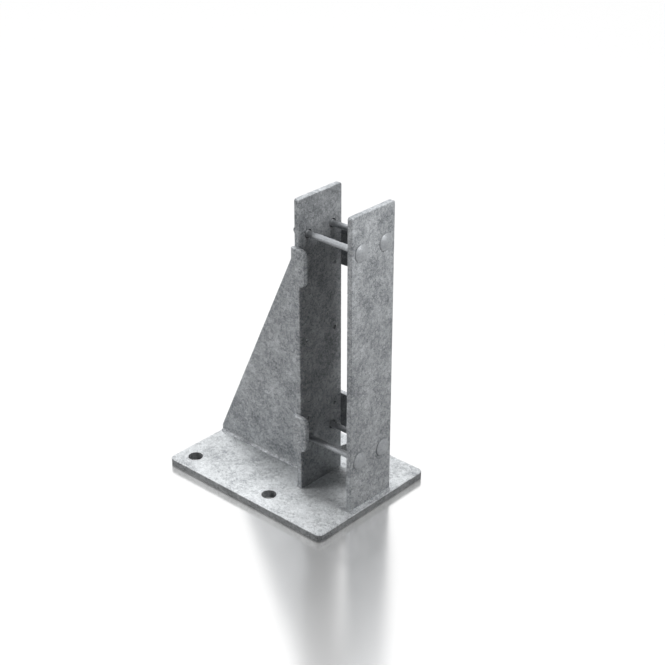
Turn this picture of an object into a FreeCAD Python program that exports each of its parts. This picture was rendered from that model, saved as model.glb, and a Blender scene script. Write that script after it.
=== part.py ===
"""Bolt-down timber post base: a base plate with two flat-bar uprights, one of them braced by a gusset.

Frame: millimetres, +Z up, origin on the underside of the base plate at its centre. The timber
stands between the two uprights, which face each other along X. The gusset is on the -X side and
the domed bolt heads are on the +X side. "Near" pieces lie at -Y and "far" pieces at +Y.
"""
import FreeCAD, Part
import math
import os
import Sketcher
from FreeCAD import Placement, Rotation, Vector

# Every size that can be set by itself, in millimetres.
SIZES = {
    "plate_length": 250.0,
    "plate_width": 186.0,
    "plate_thickness": 10.0,
    "plate_corner": 7.0,
    "anchor_hole": 18.0,
    "anchor_end_distance": 22.0,
    "anchor_pitch": 125.5,
    "anchor_spacing": 139.0,
    "upright_width": 70.0,
    "upright_thickness": 7.0,
    "upright_height": 369.0,
    "upright_corner": 3.0,
    "post_gap": 70.0,
    "plate_margin": 5.0,
    "edge_break": 0.7,
    "gusset_thickness": 6.0,
    "gusset_top_distance": 27.0,
    "gusset_toe": 7.5,
    "gusset_top_width": 6.0,
    "gusset_setback": 1.0,
    "guide_reach": 13.0,
    "guide_height": 45.0,
    "guide_thickness": 6.0,
    "guide_corner": 8.0,
    "guide_level": 56.5,
    "guide_top_distance": 55.5,
    "nail_hole": 5.0,
    "nail_spacing": 46.5,
    "nail_level": 93.0,
    "nail_row_pitch": 101.0,
    "nail_top_distance": 93.0,
    "bolt_level": 65.0,
    "bolt_top_distance": 44.0,
    "bolt_spacing": 40.0,
    "bolt_hole_clearance": 3.0,
    "thread_diameter": 8.0,
    "shank_diameter": 7.2,
    "head_diameter": 21.0,
    "head_rise": 4.8,
    "head_rim": 0.7,
    "neck_square": 8.0,
    "neck_clearance": 0.5,
    "neck_length": 5.0,
    "thread_length": 20.0,
    "thread_overhang": 4.4,
    "thread_chamfer": 1.0,
    "washer_diameter": 16.0,
    "washer_thickness": 1.6,
    "washer_clearance": 0.4,
    "nut_across_flats": 13.0,
    "nut_height": 6.5,
    "nut_clearance": 0.1,
    "nut_chamfer": 0.6,
    "weld_leg": 3.5,
    "weld_crown": 0.5,
}

NEAR, FAR = -1, 1
SIDES = {"near": NEAR, "far": FAR}


class Length:
    """A length worked out from the sizes: its value now, and the expression that keeps it so."""

    def __init__(self, text, value):
        self.text = text
        self.value = value

    def join(self, sign, other, value):
        other_text = other.text if isinstance(other, Length) else str(other)
        return Length(f"({self.text} {sign} {other_text})", value)

    def __add__(self, other):
        return self.join("+", other, self.value + number(other))

    def __sub__(self, other):
        return self.join("-", other, self.value - number(other))

    def __mul__(self, other):
        return self.join("*", other, self.value * number(other))

    def __truediv__(self, other):
        return self.join("/", other, self.value / number(other))

    def __neg__(self):
        return self * -1


def number(length):
    """Value of a length or of a plain number."""
    return length.value if isinstance(length, Length) else length


def size(name):
    """One of the sizes, as a length."""
    return Length(f"sizes.{name}", SIZES[name])


# Places that several pieces share.
PLATE_TOP = size("plate_thickness")
PLATE_END = size("plate_length") / 2
OUTER_FACE = PLATE_END - size("plate_margin")
OUTER_SEAT = OUTER_FACE - size("upright_thickness")
BRACED_SEAT = OUTER_SEAT - size("post_gap")
BRACED_FACE = BRACED_SEAT - size("upright_thickness")
HALF_UPRIGHT = size("upright_width") / 2
HALF_GUSSET = size("gusset_thickness") / 2
GUSSET_LENGTH = BRACED_FACE + PLATE_END - size("gusset_setback")
GUSSET_RISE = size("upright_height") - size("gusset_top_distance")
NUT_SEAT = BRACED_FACE - size("washer_thickness")
BOLT_LENGTH = OUTER_FACE - NUT_SEAT + size("nut_height") + size("thread_overhang")

# Heights above the plate: the lower rows are set from the plate, and the upper rows from the uprights' tops.
BOLT_RISES = {
    "lower": size("bolt_level"),
    "upper": size("upright_height") - size("bolt_top_distance"),
}
GUIDE_RISES = {
    "lower": size("guide_level"),
    "upper": size("upright_height") - size("guide_top_distance") - size("guide_height"),
}
NAIL_RISES = [
    size("nail_level"),
    size("nail_level") + size("nail_row_pitch"),
    size("upright_height") - size("nail_top_distance"),
]

document = FreeCAD.newDocument("timber_post_base")


def make_sheet():
    """Spreadsheet with one aliased cell for each size."""
    sheet = document.addObject("Spreadsheet::Sheet", "sizes")
    for row, (name, value) in enumerate(SIZES.items(), start=1):
        sheet.set(f"A{row}", name)
        sheet.set(f"B{row}", str(value))
        sheet.setAlias(f"B{row}", name)
    document.recompute()


def make_body(name):
    """Empty body whose label names its piece."""
    body = document.addObject("PartDesign::Body", name)
    body.Label = name
    return body


def place(body, x=0, y=0, z=0, rotation=None):
    """Put a body where lengths say, turned first if it has a rotation."""
    if rotation is not None:
        body.Placement = Placement(Vector(), rotation)
    for axis, length in (("x", x), ("y", y), ("z", z)):
        if isinstance(length, Length):
            body.setExpression(f".Placement.Base.{axis}", f"{length.text} * 1 mm")
    return body


def make_sketch(body, plane, name):
    """Sketch on one of the body's own origin planes."""
    sketch = body.newObject("Sketcher::SketchObject", name)
    support = next(item for item in body.Origin.OriginFeatures if item.Role == plane)
    sketch.AttachmentSupport = (support, "")
    sketch.MapMode = "FlatFace"
    return sketch


def bind(sketch, kind, where, name, length):
    """Add a named dimension to a sketch and tie it to a length."""
    index = sketch.addConstraint(Sketcher.Constraint(kind, *where, length.value))
    sketch.renameConstraint(index, name)
    sketch.setExpression(f"Constraints.{name}", f"{length.text} * 1 mm")


def hold_point(sketch, geometry, end, name, across, up):
    """Hold a point of a sketch at two signed lengths from its origin."""
    for kind, axis, suffix, length in (("DistanceX", -2, "across", across), ("DistanceY", -1, "up", up)):
        if number(length) == 0:
            sketch.addConstraint(Sketcher.Constraint("PointOnObject", geometry, end, axis))
        elif length.value > 0:
            bind(sketch, kind, (-1, 1, geometry, end), f"{name}_{suffix}", length)
        else:
            bind(sketch, kind, (geometry, end, -1, 1), f"{name}_{suffix}", -length)


def outline_sketch(body, plane, name, corners, open_after=None):
    """Outline of straight lines through corners; the edge after corner open_after is left out."""
    sketch = make_sketch(body, plane, name)
    count = len(corners)
    edges = [index for index in range(count) if index != open_after]
    for index in edges:
        ends = [corners[index], corners[(index + 1) % count]]
        start, finish = (Vector(number(across), number(up), 0) for across, up in ends)
        line = sketch.addGeometry(Part.LineSegment(start, finish), False)
        hold_point(sketch, line, 1, f"corner{index}", *corners[index])
    for line, index in enumerate(edges):
        following = (index + 1) % count
        if following in edges:
            joint = (line, 2, edges.index(following), 1)
            sketch.addConstraint(Sketcher.Constraint("Coincident", *joint))
        else:
            hold_point(sketch, line, 2, f"corner{following}", *corners[following])
    return sketch


def circle_sketch(body, plane, name, diameter, centres):
    """Equal circles about centres given as pairs of signed lengths."""
    sketch = make_sketch(body, plane, name)
    for index, (across, up) in enumerate(centres):
        centre = Vector(number(across), number(up), 0)
        circle = Part.Circle(centre, Vector(0, 0, 1), diameter.value / 2)
        geometry = sketch.addGeometry(circle, False)
        bind(sketch, "Diameter", (geometry,), f"diameter{index}", diameter)
        hold_point(sketch, geometry, 3, f"centre{index}", across, up)
    return sketch


def square_corners(side, across=0, up=0):
    """Corners of a square about a centre."""
    half = side / 2
    return [(half * h + across, half * v + up) for h, v in ((-1, -1), (1, -1), (1, 1), (-1, 1))]


def pad(body, sketch, name, length, reverse=False, symmetric=False):
    """Pad a sketch by a length, along its normal, against it or to both sides."""
    feature = body.newObject("PartDesign::Pad", name)
    feature.Profile = sketch
    feature.setExpression("Length", f"{length.text} * 1 mm")
    feature.Reversed = reverse
    feature.SideType = "Symmetric" if symmetric else "One side"
    document.recompute()
    return feature


def cut_through(body, sketch, name, reverse=True):
    """Cut a sketch right through a body, and make sure that it did cut."""
    before = body.Shape.Volume
    feature = body.newObject("PartDesign::Pocket", name)
    feature.Profile = sketch
    feature.Type = "ThroughAll"
    feature.Reversed = reverse
    document.recompute()
    if body.Shape.Volume >= before:
        raise RuntimeError(f"{name} cuts nothing from {body.Label}")


def dress_edges(body, base, kind, name, length, wanted):
    """Fillet or chamfer the edges of a feature that a test picks."""
    names = [f"Edge{index}" for index, edge in enumerate(base.Shape.Edges, start=1) if wanted(edge)]
    feature = body.newObject(f"PartDesign::{kind}", name)
    feature.Base = (base, names)
    feature.setExpression({"Fillet": "Radius", "Chamfer": "Size"}[kind], f"{length.text} * 1 mm")
    document.recompute()
    return feature


def round_corners(body, base, name, radius, wanted):
    """Fillet the corners of a plate's outline."""
    return dress_edges(body, base, "Fillet", name, radius, wanted)


def break_edges(body, base, name, wanted):
    """Chamfer the sharp edges of a plate by the size that all plates share."""
    return dress_edges(body, base, "Chamfer", name, size("edge_break"), wanted)


def runs_along(axis):
    """Test for straight edges along an axis of the body."""
    def test(edge):
        if not isinstance(edge.Curve, Part.Line):
            return False
        return abs(abs(edge.tangentAt(edge.FirstParameter).dot(axis)) - 1) < 1e-6
    return test


def on_faces(axis, seats=()):
    """Test for edges that lie in a plane across an axis, apart from those along a seat."""
    def test(edge):
        ends = [vertex.Point for vertex in edge.Vertexes] + [edge.CenterOfMass]
        levels = [point.dot(axis) for point in ends]
        seated = any(max(abs(point.dot(seat)) for point in ends) < 1e-6 for seat in seats)
        return max(levels) - min(levels) < 1e-6 and not seated
    return test


def side_by_side(spacing, rises):
    """Centres in two columns, near and far, at each of several heights."""
    return [(spacing * (side / 2), rise) for rise in rises for side in SIDES.values()]


def make_base_plate():
    """Plate with rounded corners, broken edges and four anchor holes."""
    body = make_body("base_plate")
    signs = ((-1, -1), (1, -1), (1, 1), (-1, 1))
    outline = [(PLATE_END * h, size("plate_width") * (v / 2)) for h, v in signs]
    sketch = outline_sketch(body, "XY_Plane", "plate_outline", outline)
    slab = pad(body, sketch, "slab", size("plate_thickness"))
    upward = Vector(0, 0, 1)
    corners = round_corners(body, slab, "plate_corners", size("plate_corner"), runs_along(upward))
    break_edges(body, corners, "plate_edges", on_faces(upward))
    first_row = size("anchor_end_distance") - PLATE_END
    rows = [first_row, first_row + size("anchor_pitch")]
    centres = [(row, size("anchor_spacing") * (side / 2)) for row in rows for side in SIDES.values()]
    holes = circle_sketch(body, "XY_Plane", "anchor_circles", size("anchor_hole"), centres)
    cut_through(body, holes, "anchor_holes")


def make_bar(name):
    """Flat bar standing on its end, with rounded top corners; local origin at its foot on the -X face."""
    body = make_body(name)
    outline = [(-HALF_UPRIGHT, 0), (HALF_UPRIGHT, 0)]
    outline += [(HALF_UPRIGHT, size("upright_height")), (-HALF_UPRIGHT, size("upright_height"))]
    sketch = outline_sketch(body, "YZ_Plane", f"{name}_outline", outline)
    bar = pad(body, sketch, f"{name}_bar", size("upright_thickness"))
    across = runs_along(Vector(1, 0, 0))

    def at_the_top(edge):
        return across(edge) and edge.CenterOfMass.z > 1

    corners = round_corners(body, bar, f"{name}_corners", size("upright_corner"), at_the_top)
    faces = on_faces(Vector(1, 0, 0), seats=[Vector(0, 0, 1)])
    break_edges(body, corners, f"{name}_edges", faces)
    return body


def make_braced_upright():
    """Upright on the gusset side, with round bolt holes and two columns of nail holes."""
    body = make_bar("braced_upright")
    diameter = size("thread_diameter") + size("bolt_hole_clearance")
    centres = side_by_side(size("bolt_spacing"), BOLT_RISES.values())
    bolt_holes = circle_sketch(body, "YZ_Plane", "braced_bolt_circles", diameter, centres)
    cut_through(body, bolt_holes, "braced_bolt_holes")
    centres = side_by_side(size("nail_spacing"), NAIL_RISES)
    nail_holes = circle_sketch(body, "YZ_Plane", "nail_circles", size("nail_hole"), centres)
    cut_through(body, nail_holes, "nail_holes")
    place(body, x=BRACED_FACE, z=PLATE_TOP)


def make_outer_upright():
    """Upright on the plain side, with a square hole for each bolt's neck."""
    body = make_bar("outer_upright")
    side = size("neck_square") + size("neck_clearance")
    centres = side_by_side(size("bolt_spacing"), BOLT_RISES.values())
    for index, (across, up) in enumerate(centres):
        sketch = outline_sketch(body, "YZ_Plane", f"neck_square{index}", square_corners(side, across, up))
        cut_through(body, sketch, f"neck_hole{index}")
    place(body, x=OUTER_SEAT, z=PLATE_TOP)


def make_gusset():
    """Three-sided brace plate with a blunt toe and a blunt top; local origin at its inner corner."""
    body = make_body("gusset")
    toe = (-GUSSET_LENGTH, size("gusset_toe"))
    top = (-size("gusset_top_width"), GUSSET_RISE)
    outline = [(0, 0), (0, GUSSET_RISE), top, toe, (-GUSSET_LENGTH, 0)]
    sketch = outline_sketch(body, "XZ_Plane", "gusset_outline", outline)
    brace = pad(body, sketch, "brace", size("gusset_thickness"), symmetric=True)
    seats = [Vector(0, 0, 1), Vector(1, 0, 0)]
    break_edges(body, brace, "gusset_edges", on_faces(Vector(0, 1, 0), seats))
    place(body, x=BRACED_FACE, z=PLATE_TOP)


def make_guide(level_name, side_name):
    """Small plate on an edge of the braced upright that stops the timber from sliding sideways."""
    side = SIDES[side_name]
    body = make_body(f"guide_{level_name}_{side_name}")
    reach = size("upright_thickness") + size("guide_reach")
    outline = [(0, 0), (reach, 0), (reach, size("guide_height")), (0, size("guide_height"))]
    sketch = outline_sketch(body, "XZ_Plane", f"{body.Label}_outline", outline)
    block = pad(body, sketch, f"{body.Label}_block", size("guide_thickness"), reverse=side == FAR)
    across = runs_along(Vector(0, 1, 0))

    def at_the_tip(edge):
        return across(edge) and edge.CenterOfMass.x > reach.value / 2

    corners = round_corners(body, block, f"{body.Label}_corners", size("guide_corner"), at_the_tip)
    faces = on_faces(Vector(0, 1, 0))
    break_edges(body, corners, f"{body.Label}_edges", faces)
    place(body, x=BRACED_FACE, y=HALF_UPRIGHT * side, z=PLATE_TOP + GUIDE_RISES[level_name])


def dome_profile(body, name):
    """Half section of a carriage bolt on the XY plane: domed head, shank and chamfered thread end."""
    head = size("head_diameter") / 2
    shank = size("shank_diameter") / 2
    thread = size("thread_diameter") / 2
    chamfer = size("thread_chamfer")
    shoulder = size("thread_length") - BOLT_LENGTH
    corners = [
        (size("head_rise"), 0),
        (size("head_rim"), head),
        (0, head),
        (0, shank),
        (shoulder, shank),
        (shoulder, thread),
        (chamfer - BOLT_LENGTH, thread),
        (-BOLT_LENGTH, thread - chamfer),
        (-BOLT_LENGTH, 0),
    ]
    sketch = outline_sketch(body, "XY_Plane", name, corners, open_after=0)
    crown = size("head_rise").value - size("head_rim").value
    radius = (head.value ** 2 + crown ** 2) / (2 * crown)
    centre = Vector(size("head_rise").value - radius, 0, 0)
    rim_angle = math.atan2(head.value, size("head_rim").value - centre.x)
    circle = Part.Circle(centre, Vector(0, 0, 1), radius)
    dome = sketch.addGeometry(Part.ArcOfCircle(circle, 0, rim_angle), False)
    closing = len(corners) - 2
    sketch.addConstraint(Sketcher.Constraint("Coincident", dome, 1, closing, 2))
    sketch.addConstraint(Sketcher.Constraint("Coincident", dome, 2, 0, 1))
    sketch.addConstraint(Sketcher.Constraint("PointOnObject", dome, 3, -1))
    return sketch


def make_bolt(level_name, side_name):
    """Carriage bolt with its head on the outer upright; local origin on the head's seat."""
    body = make_body(f"bolt_{level_name}_{side_name}")
    profile = dome_profile(body, f"{body.Label}_profile")
    turned = body.newObject("PartDesign::Revolution", f"{body.Label}_turned")
    turned.Profile = profile
    turned.ReferenceAxis = (profile, ["H_Axis"])
    turned.Angle = 360
    document.recompute()
    sketch = outline_sketch(body, "YZ_Plane", f"{body.Label}_neck", square_corners(size("neck_square")))
    pad(body, sketch, f"{body.Label}_square", size("neck_length"), reverse=True)
    place_on_bolt_line(body, OUTER_FACE, level_name, side_name)


def place_on_bolt_line(body, x, level_name, side_name):
    """Put a fastener on the axis of one of the four bolts."""
    across = size("bolt_spacing") * (SIDES[side_name] / 2)
    place(body, x=x, y=across, z=PLATE_TOP + BOLT_RISES[level_name])


def make_washer(level_name, side_name):
    """Flat washer against the braced upright."""
    body = make_body(f"washer_{level_name}_{side_name}")
    disc = circle_sketch(body, "YZ_Plane", f"{body.Label}_rim", size("washer_diameter"), [(0, 0)])
    pad(body, disc, f"{body.Label}_disc", size("washer_thickness"), reverse=True)
    bore = size("thread_diameter") + size("washer_clearance")
    hole = circle_sketch(body, "YZ_Plane", f"{body.Label}_hole", bore, [(0, 0)])
    cut_through(body, hole, f"{body.Label}_bore", reverse=False)
    place_on_bolt_line(body, BRACED_FACE, level_name, side_name)


def make_nut(level_name, side_name):
    """Hexagon nut against the washer, with the corners of its free end turned down."""
    body = make_body(f"nut_{level_name}_{side_name}")
    flat = size("nut_across_flats") / 2
    corner = flat / math.cos(math.pi / 6)
    hexagon = [(0, -corner), (flat, corner / -2), (flat, corner / 2)]
    hexagon += [(0, corner), (-flat, corner / 2), (-flat, corner / -2)]
    sketch = outline_sketch(body, "YZ_Plane", f"{body.Label}_hexagon", hexagon)
    pad(body, sketch, f"{body.Label}_block", size("nut_height"), reverse=True)
    chamfer_nut(body, flat, corner)
    bore = size("thread_diameter") + size("nut_clearance")
    hole = circle_sketch(body, "YZ_Plane", f"{body.Label}_hole", bore, [(0, 0)])
    cut_through(body, hole, f"{body.Label}_bore", reverse=False)
    place_on_bolt_line(body, NUT_SEAT, level_name, side_name)


def chamfer_nut(body, flat, corner):
    """Turn down the six corners at a nut's free end; the groove runs out halfway along each flat."""
    end = -size("nut_height")
    beyond = corner + size("nut_chamfer")
    inward = end + size("nut_chamfer")
    corners = [(end, flat), (end, beyond), (inward, beyond), (inward, corner)]
    sketch = outline_sketch(body, "XY_Plane", f"{body.Label}_corner", corners)
    before = body.Shape.Volume
    groove = body.newObject("PartDesign::Groove", f"{body.Label}_chamfer")
    groove.Profile = sketch
    groove.ReferenceAxis = (sketch, ["H_Axis"])
    groove.Angle = 360
    document.recompute()
    if body.Shape.Volume >= before:
        raise RuntimeError(f"{groove.Label} cuts nothing")


def make_weld(name, length, rotation, x, y=0, z=0):
    """Fillet weld: legs along local +X and +Z, slightly crowned face, run along local +Y."""
    body = make_body(name)
    leg = size("weld_leg")
    sketch = outline_sketch(body, "XZ_Plane", f"{name}_section", [(leg, 0), (0, leg), (0, 0)], open_after=0)
    crown = size("weld_crown")
    radius = leg * leg / crown / 4 + crown / 2
    middle = leg.value / 2 + crown.value / math.sqrt(2)
    arc = Part.Arc(Vector(leg.value, 0, 0), Vector(middle, middle, 0), Vector(0, leg.value, 0))
    face = sketch.addGeometry(arc, False)
    sketch.addConstraint(Sketcher.Constraint("Coincident", face, 1, 1, 2))
    sketch.addConstraint(Sketcher.Constraint("Coincident", face, 2, 0, 1))
    bind(sketch, "Radius", (face,), "crown_radius", radius)
    pad(body, sketch, f"{name}_bead", length, reverse=True)
    place(body, x, y, z, rotation)


def make_welds():
    """Beads that join both uprights and the gusset to the plate, and the gusset to its upright."""
    leg = size("weld_leg")
    vertical = Vector(0, 0, 1)
    forward = Rotation()
    make_weld("weld_outer_upright", size("upright_width"), forward, OUTER_FACE, -HALF_UPRIGHT, PLATE_TOP)
    run = HALF_UPRIGHT - HALF_GUSSET - leg
    backward = Rotation(vertical, 180)
    make_weld("weld_braced_upright_near", run, backward, BRACED_FACE, -(HALF_GUSSET + leg), PLATE_TOP)
    make_weld("weld_braced_upright_far", run, backward, BRACED_FACE, HALF_UPRIGHT, PLATE_TOP)
    run = GUSSET_LENGTH - leg
    toe = BRACED_FACE - GUSSET_LENGTH
    make_weld("weld_gusset_base_near", run, Rotation(vertical, -90), toe, -HALF_GUSSET, PLATE_TOP)
    make_weld("weld_gusset_base_far", run, Rotation(vertical, 90), BRACED_FACE - leg, HALF_GUSSET, PLATE_TOP)
    run = GUSSET_RISE - leg
    start = PLATE_TOP + leg
    near = Rotation(Vector(0, -1, 0), Vector(0, 0, 1), Vector(-1, 0, 0))
    far = Rotation(Vector(-1, 0, 0), Vector(0, 0, 1), Vector(0, 1, 0))
    make_weld("weld_gusset_back_near", run, near, BRACED_FACE, -HALF_GUSSET, start)
    make_weld("weld_gusset_back_far", run, far, BRACED_FACE, HALF_GUSSET, start)


def write_parts():
    """Check every object, then write each body's solid to a file of its own."""
    document.recompute()
    for item in document.Objects:
        if "Invalid" in item.State or "Error" in item.State:
            raise RuntimeError(f"{item.Label} failed")
    bodies = document.findObjects("PartDesign::Body")
    for body in bodies:
        if body.Shape.isNull() or not body.Shape.isValid() or len(body.Shape.Solids) != 1:
            raise RuntimeError(f"{body.Label} isn't one sound solid")
    os.makedirs("parts", exist_ok=True)
    for body in bodies:
        body.Shape.exportStep(f"parts/{body.Label}.step")
        print(f"{body.Label}: {body.Shape.Volume:.1f} mm3")


make_sheet()
make_base_plate()
make_braced_upright()
make_outer_upright()
make_gusset()
for level in BOLT_RISES:
    for side in SIDES:
        make_guide(level, side)
        make_bolt(level, side)
        make_washer(level, side)
        make_nut(level, side)
make_welds()
write_parts()
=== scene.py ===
"""Looks of a bolt-down timber post base: galvanised plates, welded seams and four carriage bolts.

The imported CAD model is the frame, in metres: +Z up, the origin under the middle of the base plate,
the braced upright at the lower X and the outer upright at the higher X. The flat plates stay as they
are and get their zinc coat. The bolts, nuts, washers and weld beads are made again in full detail.
"""

import logging
import math
from collections.abc import Callable
from dataclasses import dataclass, field, replace
from enum import Enum

import bpy
from mathutils import Matrix, Vector


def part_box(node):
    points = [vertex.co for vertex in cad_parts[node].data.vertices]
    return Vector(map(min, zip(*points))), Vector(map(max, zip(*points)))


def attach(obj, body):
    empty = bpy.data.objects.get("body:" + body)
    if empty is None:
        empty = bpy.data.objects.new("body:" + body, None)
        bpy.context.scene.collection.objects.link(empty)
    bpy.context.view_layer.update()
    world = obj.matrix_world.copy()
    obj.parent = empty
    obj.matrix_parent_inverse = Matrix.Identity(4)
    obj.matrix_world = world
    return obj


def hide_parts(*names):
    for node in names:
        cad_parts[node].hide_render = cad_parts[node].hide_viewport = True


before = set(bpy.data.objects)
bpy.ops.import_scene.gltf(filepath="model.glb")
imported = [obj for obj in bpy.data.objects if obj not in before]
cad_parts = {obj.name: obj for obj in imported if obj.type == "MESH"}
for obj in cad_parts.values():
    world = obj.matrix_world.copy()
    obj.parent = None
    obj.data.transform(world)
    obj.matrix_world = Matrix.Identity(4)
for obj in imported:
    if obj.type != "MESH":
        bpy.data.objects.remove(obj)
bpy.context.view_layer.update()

log = logging.getLogger("post_base")

MM = 0.001
BODY = "root"


class Coat(Enum):
    """The three zinc coats, each named as its slot in the record."""

    PLATE = "galvanised_plate"
    WELD = "galvanised_weld"
    FASTENER = "zinc_fastener"


def linear(hex_colour: str) -> tuple[float, float, float, float]:
    """Turn an sRGB hex colour to linear values.

    Args:
        hex_colour: Six hex digits, such as "8A8C8E".

    Returns:
        Linear red, green, blue, and an alpha of 1.
    """
    channels = [int(hex_colour[index : index + 2], 16) / 255 for index in (0, 2, 4)]
    turned = [c / 12.92 if c <= 0.04045 else ((c + 0.055) / 1.055) ** 2.4 for c in channels]
    return (*turned, 1.0)


def add_node(
    tree: bpy.types.NodeTree, kind: str, inputs: dict | None = None, **settings: object
) -> bpy.types.Node:
    """Add a node with its settings, its constant inputs and its links.

    Args:
        tree: Node tree that gets the node.
        kind: Blender's name for the node type.
        inputs: Values by socket name or number; a socket as the value makes a link.
        settings: Properties of the node itself.

    Returns:
        The new node.
    """
    node = tree.nodes.new(kind)
    for name, value in settings.items():
        setattr(node, name, value)
    for key, value in (inputs or {}).items():
        if isinstance(value, bpy.types.NodeSocket):
            tree.links.new(value, node.inputs[key])
        else:
            node.inputs[key].default_value = value
    return node


def set_ramp(node: bpy.types.Node, stops: list[tuple[float, tuple[float, float, float, float]]]) -> None:
    """Give a colour ramp its stops.

    Args:
        node: Colour ramp node, fresh, with its two first stops.
        stops: Positions and linear colours, in order.
    """
    elements = node.color_ramp.elements
    while len(elements) < len(stops):
        elements.new(1.0)
    for element, (position, colour) in zip(elements, stops):
        element.position = position
        element.color = colour


def start_material(name: str) -> tuple[bpy.types.Material, bpy.types.NodeTree]:
    """Make an empty node material.

    Args:
        name: Name of the material.

    Returns:
        The material and its cleared node tree.
    """
    material = bpy.data.materials.new(name)
    material.use_nodes = True
    material.node_tree.nodes.clear()
    return material, material.node_tree


@dataclass(frozen=True)
class ZincCoat:
    """Zinc on steel: crystals, cloudy patches and grit over a grey metal, all read from Object coordinates.

    The patterns' sizes and the relief are in millimetres, and shift moves the patterns so that touching
    plates don't share one. The shares say how strongly each pattern moves the tone, before contrast.
    """

    name: str
    pale: str
    middle: str
    deep: str
    cloud: float
    blotch: float
    crystal: float
    grit: float
    metallic: float
    gloss: float
    dull: float
    relief: float
    contrast: float = 1.0
    specular: float = 0.18
    cloud_share: float = 1.05
    blotch_share: float = 0.3
    crystal_share: float = 0.3
    grit_share: float = 1.15
    patch_relief: float = 0.5
    grit_relief: float = 0.6
    shift: tuple[float, float, float] = (0.0, 0.0, 0.0)
    # Painted shade: faces that point this way, by at least this much, are darkened; their colour is
    # multiplied by this level.
    painted_shade_way: tuple[float, float, float] = (0.0, 0.0, 0.0)
    painted_shade_from: float = 0.9
    painted_shade_level: float = 1.0

    def material(self) -> bpy.types.Material:
        """Build the coat as a node material.

        Returns:
            The finished material.
        """
        material, tree = start_material(self.name)
        place = add_node(tree, "ShaderNodeTexCoord").outputs["Object"]
        inputs = {"Vector": place, "Location": tuple(step * MM for step in self.shift)}
        where = add_node(tree, "ShaderNodeMapping", inputs).outputs["Vector"]
        clouds = self.noise(tree, where, self.cloud, detail=5.0, roughness=0.62)
        blotches = self.noise(tree, where, self.blotch, detail=6.0, roughness=0.7)
        grit = self.noise(tree, where, self.grit, detail=2.0, roughness=0.6)
        inputs = {"Vector": where, "Scale": 1 / (self.crystal * MM), "Randomness": 1.0}
        cells = add_node(tree, "ShaderNodeTexVoronoi", inputs, feature="F1").outputs["Color"]
        crystals = add_node(tree, "ShaderNodeSeparateColor", {"Color": cells}).outputs["Red"]
        patterns = [
            (clouds, self.cloud_share),
            (blotches, self.blotch_share),
            (crystals, self.crystal_share),
            (grit, self.grit_share),
        ]
        tone = self.tone(tree, patterns)
        shade = add_node(tree, "ShaderNodeValToRGB", {"Fac": tone})
        set_ramp(shade, [(0.18, linear(self.deep)), (0.5, linear(self.middle)), (0.82, linear(self.pale))])
        inputs = {"Value": tone, 1: 0.2, 2: 0.8, 3: self.dull, 4: self.gloss}
        roughness = add_node(tree, "ShaderNodeMapRange", inputs).outputs["Result"]
        relief = self.relief_normal(tree, tone, grit)
        surface = add_node(
            tree,
            "ShaderNodeBsdfPrincipled",
            {
                "Base Color": self.paint_shade(tree, shade.outputs["Color"]),
                "Roughness": roughness,
                "Normal": relief,
                "Metallic": self.metallic,
                "Specular IOR Level": self.specular,
            },
        )
        add_node(tree, "ShaderNodeOutputMaterial", {"Surface": surface.outputs["BSDF"]})
        return material

    def paint_shade(self, tree: bpy.types.NodeTree, colour: bpy.types.NodeSocket) -> bpy.types.NodeSocket:
        """Paint shade: darken the colour on the faces that point the shaded way.

        Args:
            tree: Node tree of the material.
            colour: The coat's colour.

        Returns:
            The colour's socket, darkened by painted shade where the face points the shaded way.
        """
        facing = add_node(tree, "ShaderNodeTexCoord").outputs["Normal"]
        inputs = {0: facing, 1: self.painted_shade_way}
        towards = add_node(tree, "ShaderNodeVectorMath", inputs, operation="DOT_PRODUCT")
        inputs = {0: towards.outputs["Value"], 1: self.painted_shade_from}
        # The mask of the painted shade: 1 where the face points the shaded way.
        dull = add_node(tree, "ShaderNodeMath", inputs, operation="GREATER_THAN").outputs["Value"]
        level = add_node(tree, "ShaderNodeMapRange", {"Value": dull, 3: 1.0, 4: self.painted_shade_level})
        inputs = {0: colour, "Scale": level.outputs["Result"]}
        return add_node(tree, "ShaderNodeVectorMath", inputs, operation="SCALE").outputs["Vector"]

    def noise(
        self,
        tree: bpy.types.NodeTree,
        where: bpy.types.NodeSocket,
        size: float,
        detail: float,
        roughness: float,
    ) -> bpy.types.NodeSocket:
        """Add cloudy noise of a real size.

        Args:
            tree: Node tree of the material.
            where: Place on the object.
            size: Size of the patches in millimetres.
            detail: Number of finer layers.
            roughness: Strength of the finer layers.

        Returns:
            The noise value's socket.
        """
        inputs = {"Vector": where, "Scale": 1 / (size * MM), "Detail": detail, "Roughness": roughness}
        return add_node(tree, "ShaderNodeTexNoise", inputs).outputs["Fac"]

    def tone(
        self, tree: bpy.types.NodeTree, patterns: list[tuple[bpy.types.NodeSocket, float]]
    ) -> bpy.types.NodeSocket:
        """Add up the patterns to one tone, from 0 in the deep patches to 1 on the palest crystals.

        Args:
            tree: Node tree of the material.
            patterns: Pattern values, each with its share.

        Returns:
            The tone's socket.
        """
        # Each pattern runs about 0.5, so half of every strength is taken off to keep the sum centred.
        total: bpy.types.NodeSocket | float = 0.5 - sum(share for _, share in patterns) * self.contrast / 2
        for pattern, share in patterns:
            inputs = {0: pattern, 1: share * self.contrast, 2: total}
            total = add_node(tree, "ShaderNodeMath", inputs, operation="MULTIPLY_ADD").outputs["Value"]
        return add_node(tree, "ShaderNodeClamp", {"Value": total}).outputs["Result"]

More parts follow.
